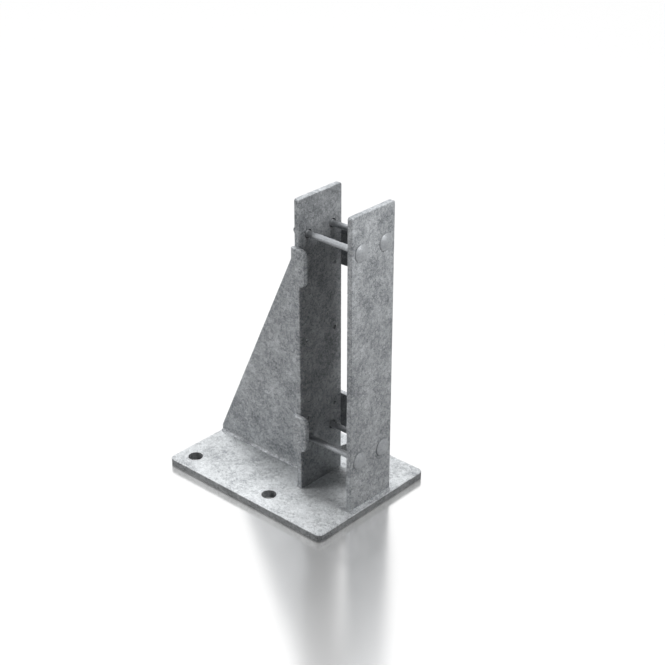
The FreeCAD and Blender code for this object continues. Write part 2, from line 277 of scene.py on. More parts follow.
    def relief_normal(
        self, tree: bpy.types.NodeTree, tone: bpy.types.NodeSocket, grit: bpy.types.NodeSocket
    ) -> bpy.types.NodeSocket:
        """Add the coat's relief: gentle over the patches and fine over the grit.

        Args:
            tree: Node tree of the material.
            tone: The coat's tone.
            grit: Fine noise.

        Returns:
            The normal's socket.
        """
        inputs = {"Height": tone, "Strength": self.patch_relief, "Distance": self.relief * MM}
        broad = add_node(tree, "ShaderNodeBump", inputs).outputs["Normal"]
        inputs |= {"Height": grit, "Strength": self.grit_relief, "Normal": broad}
        fine = add_node(tree, "ShaderNodeBump", inputs)
        return fine.outputs["Normal"]


# The flat plates are taken as hot-dip galvanised: matt grey, with soft clouds, fine crystals and grit.
# The metallic and specular levels are chosen low, so that the steel stays matt beside a bright floor.
# They aren't known values for zinc.
PLATE_COAT = ZincCoat(
    name="hot_dip_galvanised_steel",
    pale="C4C7CA",
    middle="9C9FA2",
    deep="6C7074",
    cloud=30.0,
    blotch=9.0,
    crystal=3.0,
    grit=1.4,
    metallic=0.08,
    gloss=0.4,
    dull=0.6,
    relief=0.05,
    contrast=0.85,
)

# Painted light and shade: the base plate is paler than the uprights, standing in for the light on its top,
# and every face that doesn't point up is painted darker as shade. A guess: the base plate is paler on top
# than the uprights, and duller on every face that looks elsewhere.
BASE_COAT = replace(
    PLATE_COAT,
    pale="D6D9DB",
    middle="BEC1C3",
    deep="85888C",
    painted_shade_way=(0.0, 0.0, -1.0),
    painted_shade_from=-0.5,
    painted_shade_level=0.45,
)

# A guess: zinc over a weld bead is a little paler and rougher than on the flats, with smaller patches.
WELD_COAT = ZincCoat(
    name="hot_dip_galvanised_weld",
    pale="C4C7CA",
    middle="A0A3A6",
    deep="74777B",
    cloud=18.0,
    blotch=6.0,
    crystal=2.0,
    grit=1.0,
    metallic=0.2,
    gloss=0.48,
    dull=0.66,
    relief=0.04,
)

# A guess: the bolts, nuts and washers are galvanised too, in a more even grey with a soft sheen.
FASTENER_COAT = ZincCoat(
    name="galvanised_fastener_steel",
    pale="B9BCBF",
    middle="9DA0A3",
    deep="7A7D81",
    cloud=14.0,
    blotch=4.0,
    crystal=1.6,
    grit=0.9,
    metallic=0.2,
    gloss=0.42,
    dull=0.55,
    relief=0.01,
    contrast=0.45,
)


def new_tree(name: str, numbers: dict[str, float]) -> tuple[bpy.types.NodeTree, bpy.types.Node]:
    """Start a geometry tree with a geometry input, named numbers and a material.

    Args:
        name: Name of the tree.
        numbers: Named number inputs with their first values.

    Returns:
        The tree and its group input node.
    """
    tree = bpy.data.node_groups.new(name, "GeometryNodeTree")
    tree.interface.new_socket("Geometry", in_out="INPUT", socket_type="NodeSocketGeometry")
    for label, value in numbers.items():
        tree.interface.new_socket(label, in_out="INPUT", socket_type="NodeSocketFloat").default_value = value
    tree.interface.new_socket("Material", in_out="INPUT", socket_type="NodeSocketMaterial")
    tree.interface.new_socket("Geometry", in_out="OUTPUT", socket_type="NodeSocketGeometry")
    return tree, add_node(tree, "NodeGroupInput")


def close_tree(tree: bpy.types.NodeTree, given: bpy.types.Node, geometry: bpy.types.NodeSocket) -> None:
    """End a geometry tree: real geometry, its material and the output.

    Args:
        tree: The geometry tree.
        given: Its group input node.
        geometry: What the tree has made.
    """
    real = add_node(tree, "GeometryNodeRealizeInstances", {"Geometry": geometry}).outputs["Geometry"]
    inputs = {"Geometry": real, "Material": given.outputs["Material"]}
    dressed = add_node(tree, "GeometryNodeSetMaterial", inputs)
    add_node(tree, "NodeGroupOutput", {"Geometry": dressed.outputs["Geometry"]})


def run_tree(mesh: bpy.types.Mesh, tree: bpy.types.NodeTree, values: dict[str, object]) -> bpy.types.Mesh:
    """Run a geometry tree on a mesh and keep the result as a plain mesh.

    Args:
        mesh: Mesh that goes in.
        tree: The geometry tree.
        values: Input values by the inputs' names.

    Returns:
        The plain mesh that comes out.
    """
    carrier = bpy.data.objects.new(f"{tree.name}_carrier", mesh)
    bpy.context.scene.collection.objects.link(carrier)
    modifier = carrier.modifiers.new(tree.name, "NODES")
    modifier.node_group = tree
    for item in tree.interface.items_tree:
        if item.in_out == "INPUT" and item.name in values:
            modifier[item.identifier] = values[item.name]
    depsgraph = bpy.context.evaluated_depsgraph_get()
    made = bpy.data.meshes.new_from_object(carrier.evaluated_get(depsgraph), depsgraph=depsgraph)
    bpy.data.objects.remove(carrier)
    return made


def skin(name: str, rings: list[list[Vector]], looped: bool = False) -> bpy.types.Mesh:
    """Skin rings of points with quads, and close both ends or join the last ring to the first.

    Args:
        name: Name of the mesh.
        rings: Rings with one number of points each; an end ring of one point is a pole.
        looped: Whether the last ring joins the first.

    Returns:
        The closed mesh, faces outwards where the rings turn right about the way they run.
    """
    points: list[Vector] = []
    starts: list[int] = []
    for ring in rings:
        starts.append(len(points))
        points.extend(ring)
    faces: list[tuple[int, ...]] = []
    pairs = list(zip(range(len(rings)), range(1, len(rings))))
    if looped:
        pairs.append((len(rings) - 1, 0))
    for first, second in pairs:
        count = max(len(rings[first]), len(rings[second]))
        for index in range(count):
            after = (index + 1) % count
            corners = [
                starts[first] + index % len(rings[first]),
                starts[second] + index % len(rings[second]),
                starts[second] + after % len(rings[second]),
                starts[first] + after % len(rings[first]),
            ]
            faces.append(tuple(dict.fromkeys(corners)))
    if not looped:
        for number, turn in ((0, 1), (len(rings) - 1, -1)):
            if len(rings[number]) > 2:
                faces.append(tuple(starts[number] + index for index in range(len(rings[number])))[::turn])
    mesh = bpy.data.meshes.new(name)
    mesh.from_pydata(points, [], faces)
    mesh.validate()
    return mesh


def turned_ring(x: float, radius: Callable[[float], float] | float, segments: int) -> list[Vector]:
    """Points of one ring about the X axis, turning right about the way to the lower X.

    Args:
        x: Place of the ring along the axis.
        radius: Radius, or a function that gives it for each angle.
        segments: Number of points.

    Returns:
        The ring's points, or a single pole point where the radius is 0.
    """
    if radius == 0:
        return [Vector((x, 0, 0))]
    angles = [math.tau * index / segments for index in range(segments)]
    reach = [radius(angle) if callable(radius) else radius for angle in angles]
    return [Vector((x, r * math.cos(a), r * math.sin(a))) for a, r in zip(angles, reach)]


def polygon_radius(half: float, sides: int, rounding: float, turn: float = 0.0) -> Callable[[float], float]:
    """Radius of a regular polygon with slightly blunt corners, as a function of the angle.

    Args:
        half: Distance from the centre to a flat side.
        sides: Number of sides.
        rounding: How far the corners fall short of sharp ones.
        turn: Angle of the first corner.

    Returns:
        Function from an angle to the polygon's radius there.
    """
    step = math.tau / sides
    corner = half / math.cos(step / 2) - rounding

    def radius(angle: float) -> float:
        """Radius of the polygon at an angle."""
        offset = (angle - turn) % step - step / 2
        return min(half / math.cos(offset), corner)

    return radius


def smooth(mesh: bpy.types.Mesh, angle: float) -> None:
    """Shade a mesh smooth, with sharp edges where faces meet at more than an angle.

    Args:
        mesh: The mesh.
        angle: Angle in degrees.
    """
    mesh.shade_smooth()
    mesh.set_sharp_from_angle(angle=math.radians(angle))


def add_piece(name: str, mesh: bpy.types.Mesh, coat: Coat, replaced: list[str]) -> bpy.types.Object:
    """Put a finished mesh in the scene as a piece of the object.

    Args:
        name: Name of the piece.
        mesh: Its mesh, in the row frame.
        coat: Not used.
        replaced: CAD nodes that it stands for.

    Returns:
        The new object.
    """
    piece = bpy.data.objects.new(name, mesh)
    bpy.context.scene.collection.objects.link(piece)
    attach(piece, BODY)
    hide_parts(*replaced)
    log.info("%s: %d faces, stands for %s", name, len(mesh.polygons), ", ".join(replaced))
    return piece


def thread_tree() -> bpy.types.NodeTree:
    """Geometry tree that rolls a right-hand thread into a bar about the X axis, tip at the lower X.

    Returns:
        The tree, with the thread's sizes as inputs.
    """
    sizes = {"Pitch": 1.25 * MM, "Depth": 0.75 * MM, "Radius": 4 * MM, "Start": 0.0, "Run-out": 1.5 * MM}
    tree, given = new_tree("rolled_thread", sizes)
    place = add_node(tree, "GeometryNodeInputPosition").outputs["Position"]
    axes = add_node(tree, "ShaderNodeSeparateXYZ", {0: place}).outputs
    inputs = {0: given.outputs["Start"], 1: axes["X"]}
    along = add_node(tree, "ShaderNodeMath", inputs, operation="SUBTRACT").outputs["Value"]
    inputs = {0: axes["Z"], 1: axes["Y"]}
    turn = add_node(tree, "ShaderNodeMath", inputs, operation="ARCTAN2").outputs["Value"]
    turns = add_node(tree, "ShaderNodeMath", {0: turn, 1: math.tau}, operation="DIVIDE").outputs["Value"]
    inputs = {0: along, 1: given.outputs["Pitch"]}
    steps = add_node(tree, "ShaderNodeMath", inputs, operation="DIVIDE").outputs["Value"]
    phase = add_node(tree, "ShaderNodeMath", {0: steps, 1: turns}, operation="ADD").outputs["Value"]
    flank = add_node(tree, "ShaderNodeMath", {0: phase, 1: 0.5}, operation="PINGPONG").outputs["Value"]
    # A flank runs between a root flat of a quarter and a crest flat of an eighth of the pitch.
    root_half = 1 / 8
    crest_half = 1 / 16
    inputs = {"Value": flank, 1: root_half, 2: 0.5 - crest_half, 3: 1.0, 4: 0.0}
    groove = add_node(tree, "ShaderNodeMapRange", inputs).outputs["Result"]
    inputs = {"Value": along, 1: 0.0, 2: given.outputs["Run-out"], 3: 0.0, 4: given.outputs["Depth"]}
    started = add_node(tree, "ShaderNodeMapRange", inputs).outputs["Result"]
    cut = add_node(tree, "ShaderNodeMath", {0: groove, 1: started}, operation="MULTIPLY").outputs["Value"]
    inputs = {0: given.outputs["Radius"], 1: cut}
    limit = add_node(tree, "ShaderNodeMath", inputs, operation="SUBTRACT").outputs["Value"]
    across = add_node(tree, "ShaderNodeCombineXYZ", {"Y": axes["Y"], "Z": axes["Z"]}).outputs["Vector"]
    reach = add_node(tree, "ShaderNodeVectorMath", {0: across}, operation="LENGTH").outputs["Value"]
    kept = add_node(tree, "ShaderNodeMath", {0: reach, 1: limit}, operation="MINIMUM").outputs["Value"]
    ratio = add_node(tree, "ShaderNodeMath", {0: kept, 1: reach}, operation="DIVIDE").outputs["Value"]
    scaled = add_node(tree, "ShaderNodeVectorMath", {0: across, "Scale": ratio}, operation="SCALE")
    axial = add_node(tree, "ShaderNodeCombineXYZ", {"X": axes["X"]}).outputs["Vector"]
    moved = add_node(tree, "ShaderNodeVectorMath", {0: scaled.outputs["Vector"], 1: axial}, operation="ADD")
    inputs = {0: along, 1: 0.0}
    threaded = add_node(tree, "ShaderNodeMath", inputs, operation="GREATER_THAN").outputs["Value"]
    inputs = {
        "Geometry": given.outputs["Geometry"],
        "Selection": threaded,
        "Position": moved.outputs["Vector"],
    }
    rolled = add_node(tree, "GeometryNodeSetPosition", inputs)
    close_tree(tree, given, rolled.outputs["Geometry"])
    return tree


def fastener_tree() -> bpy.types.NodeTree:
    """Geometry tree that sets one fastener on each of the four bolt axes, turned by chance.

    Returns:
        The tree, with the rows' middle and spacing, the turn and its seed as inputs.
    """
    places = {"Middle X": 0.0, "Middle Z": 0.0, "Spacing": 40 * MM, "Rise": 260 * MM}
    tree, given = new_tree("bolt_rows", places | {"Turn": 0.0, "Seed": 1.0})
    inputs = {
        "Size X": given.outputs["Spacing"],
        "Size Y": given.outputs["Rise"],
        "Vertices X": 2,
        "Vertices Y": 2,
    }
    corners = add_node(tree, "GeometryNodeMeshGrid", inputs).outputs["Mesh"]
    place = add_node(tree, "GeometryNodeInputPosition").outputs["Position"]
    flat = add_node(tree, "ShaderNodeSeparateXYZ", {0: place}).outputs
    inputs = {0: flat["Y"], 1: given.outputs["Middle Z"]}
    height = add_node(tree, "ShaderNodeMath", inputs, operation="ADD").outputs["Value"]
    inputs = {"X": given.outputs["Middle X"], "Y": flat["X"], "Z": height}
    upright = add_node(tree, "ShaderNodeCombineXYZ", inputs).outputs["Vector"]
    points = add_node(tree, "GeometryNodeSetPosition", {"Geometry": corners, "Position": upright})
    inputs = {"Max": given.outputs["Turn"], "Seed": given.outputs["Seed"]}
    chance = add_node(tree, "FunctionNodeRandomValue", inputs, data_type="FLOAT")
    amount = next(socket for socket in chance.outputs if socket.type == "VALUE" and socket.enabled)
    about = add_node(tree, "ShaderNodeCombineXYZ", {"X": amount}).outputs["Vector"]
    turned = add_node(tree, "FunctionNodeEulerToRotation", {0: about}).outputs[0]
    inputs = {
        "Points": points.outputs["Geometry"],
        "Instance": given.outputs["Geometry"],
        "Rotation": turned,
    }
    copies = add_node(tree, "GeometryNodeInstanceOnPoints", inputs)
    close_tree(tree, given, copies.outputs["Instances"])
    return tree


def ripple_tree() -> bpy.types.NodeTree:
    """Geometry tree that lays weld ripples on a plain bead along Y, its root on the Y axis.

    Returns:
        The tree, with the bead's and the ripples' sizes, their shares and the seed as inputs.
    """
    sizes = {"Leg": 3.5 * MM, "Length": 70 * MM, "Pitch": 2 * MM, "Drift size": 11 * MM}
    shares = {"Sweep": 0.9, "Wander": 1.2, "Height": 0.09, "Waver": 0.16, "Least": 0.84, "Ends": 0.45}
    tree, given = new_tree("weld_ripples", sizes | shares | {"Seed": 0.0})
    leg = given.outputs["Leg"]
    place = add_node(tree, "GeometryNodeInputPosition").outputs["Position"]
    axes = add_node(tree, "ShaderNodeSeparateXYZ", {0: place}).outputs
    # Each ripple is a crescent, its middle ahead of its ends.
    inputs = {0: axes["X"], 1: axes["Z"]}
    slant = add_node(tree, "ShaderNodeMath", inputs, operation="SUBTRACT").outputs["Value"]
    share = add_node(tree, "ShaderNodeMath", {0: slant, 1: leg}, operation="DIVIDE").outputs["Value"]
    bow = add_node(tree, "ShaderNodeMath", {0: share, 1: 2.0}, operation="POWER").outputs["Value"]
    inputs = {0: axes["Y"], 1: given.outputs["Pitch"]}
    steps = add_node(tree, "ShaderNodeMath", inputs, operation="DIVIDE").outputs["Value"]
    inputs = {0: bow, 1: given.outputs["Sweep"], 2: steps}
    crescent = add_node(tree, "ShaderNodeMath", inputs, operation="MULTIPLY_ADD").outputs["Value"]
    fineness = add_node(tree, "ShaderNodeMath", {0: 1.0, 1: given.outputs["Drift size"]}, operation="DIVIDE")
    inputs = {"W": given.outputs["Seed"], "Vector": place, "Scale": fineness.outputs["Value"], "Detail": 2.0}
    drift = add_node(tree, "ShaderNodeTexNoise", inputs, noise_dimensions="4D").outputs["Fac"]
    inputs = {0: drift, 1: given.outputs["Wander"], 2: crescent}
    wander = add_node(tree, "ShaderNodeMath", inputs, operation="MULTIPLY_ADD").outputs["Value"]
    wave = add_node(tree, "ShaderNodeMath", {0: wander}, operation="FRACT").outputs["Value"]
    inputs = {0: wave, 1: given.outputs["Height"], 2: given.outputs["Least"]}
    rise = add_node(tree, "ShaderNodeMath", inputs, operation="MULTIPLY_ADD").outputs["Value"]
    inputs = {0: drift, 1: given.outputs["Waver"], 2: rise}
    whole = add_node(tree, "ShaderNodeMath", inputs, operation="MULTIPLY_ADD").outputs["Value"]
    # The bead thins over its last leg's length at either end.
    inputs = {0: given.outputs["Length"], 1: axes["Y"]}
    beyond = add_node(tree, "ShaderNodeMath", inputs, operation="SUBTRACT").outputs["Value"]
    inputs = {0: axes["Y"], 1: beyond}
    nearest = add_node(tree, "ShaderNodeMath", inputs, operation="MINIMUM").outputs["Value"]
    inputs = {"Value": nearest, 1: 0.0, 2: leg, 3: given.outputs["Ends"], 4: 1.0}
    ends = add_node(tree, "ShaderNodeMapRange", inputs, interpolation_type="SMOOTHSTEP").outputs["Result"]
    growth = add_node(tree, "ShaderNodeMath", {0: whole, 1: ends}, operation="MULTIPLY").outputs["Value"]
    across = add_node(tree, "ShaderNodeCombineXYZ", {"X": axes["X"], "Z": axes["Z"]}).outputs["Vector"]
    grown = add_node(tree, "ShaderNodeVectorMath", {0: across, "Scale": growth}, operation="SCALE")
    axial = add_node(tree, "ShaderNodeCombineXYZ", {"Y": axes["Y"]}).outputs["Vector"]
    moved = add_node(tree, "ShaderNodeVectorMath", {0: grown.outputs["Vector"], 1: axial}, operation="ADD")
    inputs = {"Geometry": given.outputs["Geometry"], "Position": moved.outputs["Vector"]}
    laid = add_node(tree, "GeometryNodeSetPosition", inputs)
    close_tree(tree, given, laid.outputs["Geometry"])
    return tree


@dataclass
class Plates:
    """The flat pieces, which stay as the CAD model has them and get their zinc coat."""

    # Painted shade: the faces towards the timber, on the uprights and the guides, are darkened to this level
    # to deepen the shade between them. A guess: the faces towards the timber are duller, which deepens the
    # shade between the uprights.
    timber_side_shade_level: float = 0.7
    timber_side_shade_from: float = 0.9
    # How far each further plate's pattern is moved, so that no two share one, in millimetres.
    step: tuple[float, float, float] = (61.0, 37.0, 83.0)

    def coats(self) -> dict[str, ZincCoat]:
        """List the flat pieces with the coat of each.

        Returns:
            Coats by the CAD nodes' names.
        """
        # The plate coat with painted shade on the faces towards the timber.
        inner = replace(PLATE_COAT, painted_shade_level=self.timber_side_shade_level, painted_shade_from=self.timber_side_shade_from)
        listed = {
            "base_plate": BASE_COAT,
            "braced_upright": replace(inner, painted_shade_way=(1.0, 0.0, 0.0)),
            "outer_upright": replace(inner, painted_shade_way=(-1.0, 0.0, 0.0)),
            "gusset": PLATE_COAT,
        }
        for level in ("lower", "upper"):
            listed[f"guide_{level}_near"] = replace(inner, painted_shade_way=(0.0, 1.0, 0.0))
            listed[f"guide_{level}_far"] = replace(inner, painted_shade_way=(0.0, -1.0, 0.0))
        return listed

    def dress(self) -> None:
        """Give each flat piece its own stretch of the zinc pattern."""
        for count, (name, coat) in enumerate(self.coats().items()):
            shift = tuple(count * step for step in self.step)
            own = replace(coat, name=f"{coat.name}_{name}", shift=shift)
            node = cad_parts[name]
            node.data.materials.clear()
            node.data.materials.append(own.material())
            log.info("%s: %s", name, Coat.PLATE.value)


# Radius of a turned ring: one number, or a function of the angle about the axis.
Reach = Callable[[float], float] | float


@dataclass
class CrossBolts:
    """Four carriage bolts with their washers and nuts, in two rows of two across the post."""

    thread_radius: float = 4.0 * MM
    thread_pitch: float = 1.25 * MM
    thread_depth: float = 0.72 * MM
    thread_length: float = 20.0 * MM
    rows_per_turn: int = 10
    run_out: float = 1.6 * MM
    tip_chamfer: float = 1.0 * MM
    chamfer_rows: int = 8
    shank_radius: float = 3.6 * MM
    shoulder_slope: float = 0.5 * MM
    head_rim: float = 0.9 * MM
    head_softening: float = 0.25 * MM
    dome_rows: int = 14
    neck_side: float = 8.0 * MM
    neck_length: float = 5.0 * MM
    neck_taper: float = 0.8 * MM
    neck_corner: float = 0.35 * MM
    washer_play: float = 0.2 * MM
    washer_roll: float = 0.3 * MM
    # How far in the middle of the rolled edge lies, as a share of the roll.
    washer_roll_middle: float = 0.3
    washer_burr: float = 0.1 * MM
    nut_flat: float = 6.5 * MM
    nut_face_set_back: float = 0.15 * MM
    nut_chamfer_angle: float = 60.0
    nut_chamfer_rows: tuple[float, ...] = (0.0, 0.08 * MM, 0.2 * MM, 0.35 * MM, 0.5 * MM, 0.65 * MM)
    nut_bore: float = 4.05 * MM
    nut_sink: float = 0.45 * MM
    segments: int = 48
    seed: float = 4.0
    # Angles in degrees past which an edge of each fastener shows sharp.
    bolt_crease: float = 35.0
    washer_crease: float = 30.0
    nut_crease: float = 25.0
    places: tuple[str, ...] = ("lower_near", "lower_far", "upper_near", "upper_far")
    material: bpy.types.Material = field(default_factory=FASTENER_COAT.material)

    def __post_init__(self) -> None:
        """Read the bolts' places and outer sizes from the frame."""
        low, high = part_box("bolt_lower_near")
        top_low, top_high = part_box("bolt_upper_far")
        self.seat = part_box("outer_upright")[1].x
        self.crown = high.x
        self.tip = low.x
        self.head_radius = (high.y - low.y) / 2
        self.spacing = (top_low.y + top_high.y) / 2 - (low.y + high.y) / 2
        self.rise = (top_low.z + top_high.z) / 2 - (low.z + high.z) / 2
        self.middle_height = (top_low.z + top_high.z + low.z + high.z) / 4

    def build(self) -> None:
        """Make the bolts, the washers and the nuts, the last two each turned by chance."""
        rows = fastener_tree()
        washer_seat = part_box("washer_lower_near")[1].x
        nut_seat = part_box("nut_lower_near")[1].x
        self.set_out("carriage_bolts", "bolt", run_tree(self.bolt(), rows, self.inputs(self.seat, 0.0)))
        self.set_out("washers", "washer", run_tree(self.washer(), rows, self.inputs(washer_seat, math.tau)))
        self.set_out("hex_nuts", "nut", run_tree(self.nut(), rows, self.inputs(nut_seat, math.tau)))

    def inputs(self, seat: float, turn: float) -> dict[str, object]:
        """List the inputs of the tree that repeats a fastener.

        Args:
            seat: X at which the fastener's seat lies.
            turn: Largest turn about its axis.

        Returns:
            Values by the inputs' names.
        """
        return {
            "Middle X": seat,
            "Middle Z": self.middle_height,
            "Spacing": self.spacing,
            "Rise": self.rise,
            "Turn": turn,
            "Seed": self.seed,
            "Material": self.material,
        }

    def set_out(self, name: str, node: str, mesh: bpy.types.Mesh) -> None:
        """Shade the four copies of a fastener and add them as one piece.

        Args:
            name: Name of the piece.
            node: First word of the CAD nodes that it stands for.
            mesh: The four copies.
        """
        smooth(mesh, {"bolt": self.bolt_crease, "washer": self.washer_crease, "nut": self.nut_crease}[node])
        add_piece(name, mesh, Coat.FASTENER, [f"{node}_{place}" for place in self.places])

    def head(self) -> list[tuple[float, Reach]]:
        """Work out the domed head and the square neck below it.

        Returns:
            Places along the axis with their radii, from the crown to the shank.
        """
        rise = self.crown - self.seat
        dome = rise - self.head_rim
        sphere = (self.head_radius**2 + dome**2) / (2 * dome)
        edge = math.asin(self.head_radius / sphere)
        stations: list[tuple[float, Reach]] = [(rise, 0)]
        for row in range(1, self.dome_rows + 1):
            angle = edge * row / self.dome_rows
            stations.append((rise - sphere * (1 - math.cos(angle)), sphere * math.sin(angle)))
        soft = self.head_softening
        stations += [(self.head_rim - soft, self.head_radius), (soft, self.head_radius)]
        neck = polygon_radius(self.neck_side / 2, 4, self.neck_corner, math.pi / 4)
        stations += [(0.0, self.head_radius - soft), (0.0, neck), (-self.neck_length, neck)]
        stations.append((-self.neck_length - self.neck_taper, self.shank_radius))
        return stations

    def bolt(self) -> bpy.types.Mesh:
        """Turn one carriage bolt and roll its thread.

        Returns:
            The bolt about the X axis, the head's seat at X 0.
        """
        length = self.seat - self.tip
        shoulder = self.thread_length - length
        stations = self.head()
        stations += [(shoulder + self.shoulder_slope, self.shank_radius), (shoulder, self.thread_radius)]
        thread_end = self.tip_chamfer - length
        run = shoulder - thread_end
        count = round(run / self.thread_pitch * self.rows_per_turn)
        stations += [(shoulder - run * row / count, self.thread_radius) for row in range(1, count)]
        for row in range(self.chamfer_rows + 1):
            drop = self.tip_chamfer * row / self.chamfer_rows
            stations.append((thread_end - drop, self.thread_radius - drop))
        stations.append((-length, 0))
        bar = skin("carriage_bolt", [turned_ring(x, reach, self.segments) for x, reach in stations])
        values = {
            "Pitch": self.thread_pitch,
            "Depth": self.thread_depth,
            "Radius": self.thread_radius,
            "Start": shoulder,
            "Run-out": self.run_out,
            "Material": self.material,
        }
        return run_tree(bar, thread_tree(), values)

    def washer(self) -> bpy.types.Mesh:
        """Stamp one flat washer, its upper edge rolled by the punch.

        Returns:
            The washer about the X axis, its seat at X 0.
        """
        low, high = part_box("washer_lower_near")
        thickness = high.x - low.x
        outer = (high.y - low.y) / 2
        bore = self.thread_radius + self.washer_play
        roll = self.washer_roll
        middle = self.washer_roll_middle * roll
        burr = self.washer_burr
        stations = [(0.0, bore + burr), (0.0, outer - burr), (-burr, outer), (roll - thickness, outer)]
        stations += [(middle - thickness, outer - middle), (-thickness, outer - roll)]
        stations += [(-thickness, bore + burr), (burr - thickness, bore), (-burr, bore)]
        rings = [turned_ring(x, radius, self.segments) for x, radius in stations]
        return skin("washer", rings, looped=True)

    def nut(self) -> bpy.types.Mesh:
        """Shape one hexagon nut, chamfered at both ends and countersunk at its bore.

        Returns:
            The nut about the X axis, its seat at X 0.
        """
        low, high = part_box("nut_lower_near")
        height = high.x - low.x
        hexagon = polygon_radius(self.nut_flat, 6, 0.0)
        slope = math.tan(math.radians(self.nut_chamfer_angle))
        face = self.nut_flat - self.nut_face_set_back

        def chamfered(depth: float) -> Callable[[float], float]:
            """Radius of the chamfered hexagon at a depth below an end face."""
            limit = face + depth * slope
            return lambda angle: min(hexagon(angle), limit)

        mouth = self.nut_bore + self.nut_sink
        stations: list[tuple[float, Reach]] = [(0.0, mouth)]
        stations += [(-depth, chamfered(depth)) for depth in self.nut_chamfer_rows]
        stations += [(depth - height, chamfered(depth)) for depth in reversed(self.nut_chamfer_rows)]
        stations += [(-height, mouth), (self.nut_sink - height, self.nut_bore)]
        stations.append((-self.nut_sink, self.nut_bore))
        rings = [turned_ring(x, reach, self.segments) for x, reach in stations]
        return skin("hex_nut", rings, looped=True)


@dataclass(frozen=True)
class Seam:
    """One fillet weld: where it starts, the way it runs and the ways its two legs point."""

    node: str
    start: Vector
    finish: Vector
    first_leg: Vector
    second_leg: Vector


@dataclass
class WeldBeads:
    """Fillet welds that join the uprights and the gusset to the plate and to each other."""

    leg: float = 3.5 * MM
    crown: float = 0.5 * MM
    ripple_pitch: float = 2.1 * MM
    rows_per_ripple: int = 7
    face_points: int = 9
    crease: float = 50.0
    material: bpy.types.Material = field(default_factory=WELD_COAT.material)

    def seams(self) -> list[Seam]:
        """Work out each seam from the box of its CAD node.

        Returns:
            The seams, in the row frame.
        """
        front, back = Vector((1, 0, 0)), Vector((-1, 0, 0))
        near, far = Vector((0, -1, 0)), Vector((0, 1, 0))
        up = Vector((0, 0, 1))
        # Each seam's axis, and the ways that its two legs point from the root.
        ways = {
            "weld_outer_upright": ("y", front, up),
            "weld_braced_upright_near": ("y", back, up),
            "weld_braced_upright_far": ("y", back, up),
            "weld_gusset_base_near": ("x", near, up),
            "weld_gusset_base_far": ("x", far, up),
            "weld_gusset_back_near": ("z", back, near),
            "weld_gusset_back_far": ("z", back, far),
        }
        found = []
        for node, (axis, first, second) in ways.items():
            low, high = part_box(node)
            root = Vector(tuple(low[i] if first[i] + second[i] > 0 else high[i] for i in range(3)))
            start, finish = root.copy(), root.copy()
            setattr(start, axis, getattr(low, axis))
            setattr(finish, axis, getattr(high, axis))
            found.append(Seam(node, start, finish, first, second))
        return found

    def section(self) -> list[tuple[float, float]]:
        """Closed outline of the bead: its root, and a crowned face from one leg's end to the other's.

        Returns:
            Points along the two legs, in metres.
        """
        points = [(0.0, 0.0)]
        for index in range(self.face_points):
            share = index / (self.face_points - 1)
            bulge = 4 * self.crown * share * (1 - share) / math.sqrt(2)
            points.append((self.leg * (1 - share) + bulge, self.leg * share + bulge))
        return points

    def bead(self, seam: Seam, number: int, ripples: bpy.types.NodeTree) -> bpy.types.Mesh:
        """Lay one rippled bead in its seam.

        Args:
            seam: The seam.
            number: Seed that makes this bead unlike the others.
            ripples: Geometry tree that lays the ripples.

        Returns:
            The bead in the row frame.
        """
        run = (seam.finish - seam.start).length
        count = max(2, round(run / self.ripple_pitch * self.rows_per_ripple))
        outline = self.section()
        rings = [[Vector((x, run * row / count, z)) for x, z in outline] for row in range(count + 1)]
        values = {
            "Leg": self.leg,
            "Length": run,
            "Pitch": self.ripple_pitch,
            "Seed": float(number),
            "Material": self.material,
        }
        mesh = run_tree(skin(seam.node, rings), ripples, values)
        along = (seam.finish - seam.start).normalized()
        turn = Matrix((seam.first_leg, along, seam.second_leg)).transposed().to_4x4()
        mesh.transform(Matrix.Translation(seam.start) @ turn)
        if turn.determinant() < 0:
            mesh.flip_normals()
        return mesh

    def build(self) -> None:
        """Make all the beads as one piece."""
        ripples = ripple_tree()
        seams = self.seams()
        beads = [self.bead(seam, number, ripples) for number, seam in enumerate(seams)]
        points: list[Vector] = []
        faces: list[tuple[int, ...]] = []
        for bead in beads:
            offset = len(points)
            points.extend(vertex.co.copy() for vertex in bead.vertices)
            faces.extend(tuple(offset + index for index in polygon.vertices) for polygon in bead.polygons)
        mesh = bpy.data.meshes.new("weld_beads")
        mesh.from_pydata(points, [], faces)
        mesh.materials.append(self.material)
        smooth(mesh, self.crease)
        add_piece("weld_beads", mesh, Coat.WELD, [seam.node for seam in seams])


def shown_rays(tree: bpy.types.NodeTree) -> bpy.types.NodeSocket:
    """Tell the rays that show a backdrop, to the camera or through metal and glass, from those that light.

    Args:
        tree: Node tree of the floor or the world.

    Returns:
        A socket that is 1 for camera, glossy and transmission rays, else 0.
    """
    rays = add_node(tree, "ShaderNodeLightPath").outputs
    inputs = {0: rays["Is Camera Ray"], 1: rays["Is Glossy Ray"]}
    seen = add_node(tree, "ShaderNodeMath", inputs, operation="MAXIMUM").outputs["Value"]
    inputs = {0: seen, 1: rays["Is Transmission Ray"]}
    return add_node(tree, "ShaderNodeMath", inputs, operation="MAXIMUM").outputs["Value"]


